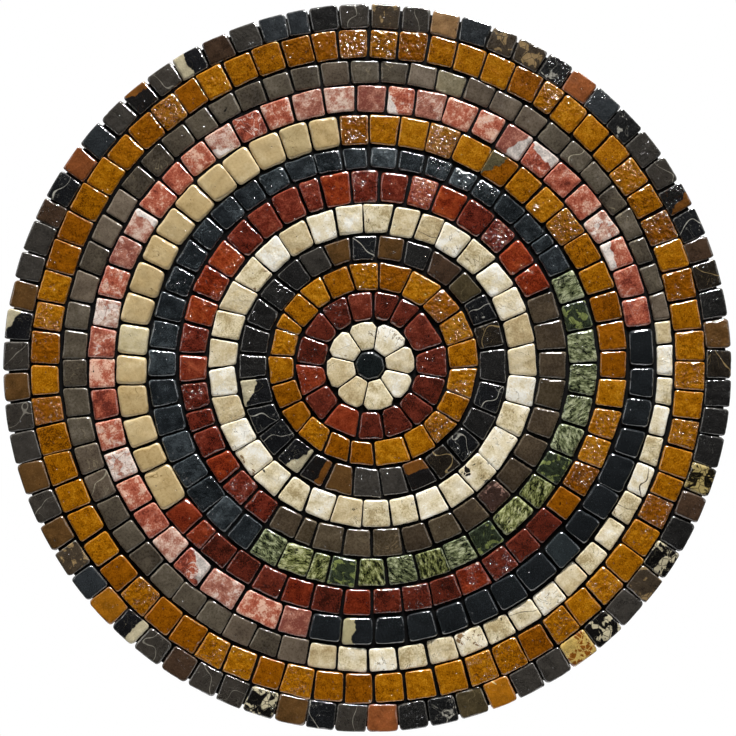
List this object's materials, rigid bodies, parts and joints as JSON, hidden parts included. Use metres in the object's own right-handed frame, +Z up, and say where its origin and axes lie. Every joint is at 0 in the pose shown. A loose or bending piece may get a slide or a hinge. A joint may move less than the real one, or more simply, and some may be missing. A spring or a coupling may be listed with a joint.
{
  "type": "mosaic panel",
  "caption": "Round wall panel of tumbled stone chips laid in coloured rings around a small rosette, on a flat backing board",
  "frame": {"origin": "centre of the flat back of the backing board, the face that is fixed to a wall", "axes": "+Y points out of the back towards the wall, the stone face looks towards -Y, +Z is up and +X is to the right as seen from the front"},
  "size_m": [0.3988, 0.0196, 0.3992],
  "materials": {
    "slate_stone": "tumbled dark slate, satin",
    "cream_stone": "tumbled cream marble with fine hairlines, sealed, glossy",
    "dark_red_stone": "tumbled dark red marble, pitted, sealed, glossy",
    "ochre_stone": "tumbled ochre marble, mottled and pitted, sealed, glossy",
    "veined_stone": "tumbled black, grey and brown marbles with white and gold veins, glossy",
    "red_stone": "tumbled red marble, pitted, sealed, glossy",
    "olive_stone": "tumbled olive-brown marble, sealed, satin",
    "blue_black_stone": "tumbled blue-black marble with worn edges, satin",
    "green_stone": "tumbled green marble, mottled, glossy",
    "beige_stone": "tumbled beige limestone, smooth, satin",
    "pink_stone": "tumbled pink marble, mottled white and rose, glossy",
    "black_stone": "tumbled black marble, glossy",
    "grey_brown_stone": "tumbled grey-brown marble, satin",
    "black_mortar": "dark cement mortar, matt",
    "cement_board": "grey cement board, matt"
  },
  "bodies": {
    "root": {"backing_board": "cement_board", "beige_arc": "beige_stone", "black_arc": "black_stone", "blue_black_arc": "blue_black_stone", "centre_stone": "slate_stone", "cream_arc": "cream_stone", "dark_red_arc": "dark_red_stone", "green_arc": "green_stone", "grey_brown_arc": "grey_brown_stone", "inner_ochre_ring": "ochre_stone", "inner_veined_ring": "veined_stone", "middle_cream_ring": "cream_stone", "mortar_bed": "black_mortar", "ochre_arc": "ochre_stone", "olive_brown_arc": "olive_stone", "outer_ochre_ring": "ochre_stone", "outer_veined_ring": "veined_stone", "pink_arc": "pink_stone", "red_arc": "red_stone", "red_ring_stone_01": "dark_red_stone", "red_ring_stone_02": "dark_red_stone", "red_ring_stone_03": "dark_red_stone", "red_ring_stone_04": "dark_red_stone", "red_ring_stone_05": "dark_red_stone", "red_ring_stone_06": "dark_red_stone", "red_ring_stone_07": "dark_red_stone", "red_ring_stone_08": "dark_red_stone", "red_ring_stone_09": "dark_red_stone", "red_ring_stone_10": "dark_red_stone", "red_ring_stone_11": "dark_red_stone", "red_ring_stone_12": "dark_red_stone", "red_ring_stone_13": "dark_red_stone", "red_ring_stone_14": "dark_red_stone", "red_ring_stone_15": "dark_red_stone", "rosette_petal_1": "cream_stone", "rosette_petal_2": "cream_stone", "rosette_petal_3": "cream_stone", "rosette_petal_4": "cream_stone", "rosette_petal_5": "cream_stone", "rosette_petal_6": "cream_stone", "rosette_petal_7": "cream_stone", "rosette_petal_8": "cream_stone"}
  },
  "joints": []
}
